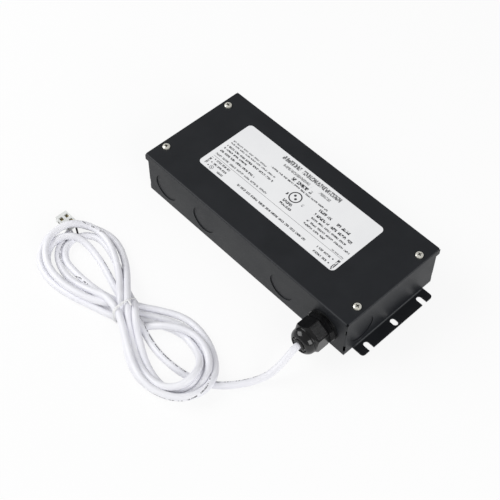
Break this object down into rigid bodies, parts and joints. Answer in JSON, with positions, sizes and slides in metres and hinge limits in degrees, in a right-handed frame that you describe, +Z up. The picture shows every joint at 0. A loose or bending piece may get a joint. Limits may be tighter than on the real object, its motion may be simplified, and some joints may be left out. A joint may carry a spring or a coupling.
{
  "type": "remote power supply",
  "caption": "Hard-wired power supply in a black folded steel box with a screwed lid, mounting flanges, conduit knockouts and a cable gland with a tied white output cord.",
  "frame": {"origin": "middle of the case's underside, without the gland, the cord and what is on it", "axes": "+X along the case towards the end with the cable gland, -Y out of the wall that carries the gland, +Z up through the lid"},
  "size_m": [0.2917, 0.2553, 0.0513],
  "materials": {
    "black_enamel": "semi-gloss",
    "zinc_screw": "plated",
    "label_film": "satin",
    "black_rubber": "matte",
    "black_nylon": "gloss",
    "cord_jacket": "satin",
    "white_tie": "satin",
    "clear_plastic": "gloss",
    "brass_contact": "satin",
    "black_lead": "satin",
    "pale_lead": "satin",
    "green_lead": "satin",
    "liner_paper": "matte",
    "turned_steel": "plated",
    "green_board": "satin",
    "ferrite": "matte",
    "bobbin_plastic": "matte",
    "copper_wire": "enamelled",
    "capacitor_sleeve": "gloss",
    "yellow_case": "gloss",
    "blue_epoxy": "gloss",
    "black_epoxy": "matte",
    "fuse_ceramic": "gloss",
    "plain_aluminium": "satin",
    "grey_silicone": "matte",
    "green_plastic": "satin"
  },
  "bodies": {
    "root": {"case_tray": "black_enamel", "lid": "black_enamel", "lid_screws": "zinc_screw", "rating_label": "label_film", "gland_gasket": "black_rubber", "gland_body": "black_nylon", "gland_claw": "black_nylon", "gland_seal": "black_rubber", "gland_nut": "black_nylon", "gland_locknut": "black_nylon", "cord_in_gland": "cord_jacket", "cord_lead": "cord_jacket", "cord_hank": "cord_jacket", "cord_tie": "white_tie", "connector_shell": "clear_plastic", "connector_contacts": "brass_contact", "connector_leads": "black_lead", "liner_sheet": "liner_paper", "board_posts": "turned_steel", "circuit_board": "green_board", "board_screws": "zinc_screw", "transformer_core": "ferrite", "transformer_bobbin": "bobbin_plastic", "transformer_winding": "copper_wire", "mains_capacitors": "capacitor_sleeve", "output_capacitors": "capacitor_sleeve", "film_capacitor": "yellow_case", "varistor": "blue_epoxy", "line_choke_core": "ferrite", "line_choke_windings": "copper_wire", "output_choke_core": "ferrite", "output_choke_winding": "copper_wire", "fuse": "fuse_ceramic", "fuse_clips": "brass_contact", "bridge_rectifier": "black_epoxy", "heat_sink": "plain_aluminium", "thermal_pad": "grey_silicone", "power_transistors": "black_epoxy", "transistor_screws": "zinc_screw", "control_board": "green_board", "control_chips": "black_epoxy", "input_terminal": "green_plastic", "output_terminal": "green_plastic", "input_leads": "black_lead", "output_leads": "pale_lead", "ground_stud": "brass_contact", "ground_nut": "brass_contact", "ground_lead": "green_lead"}
  },
  "joints": []
}
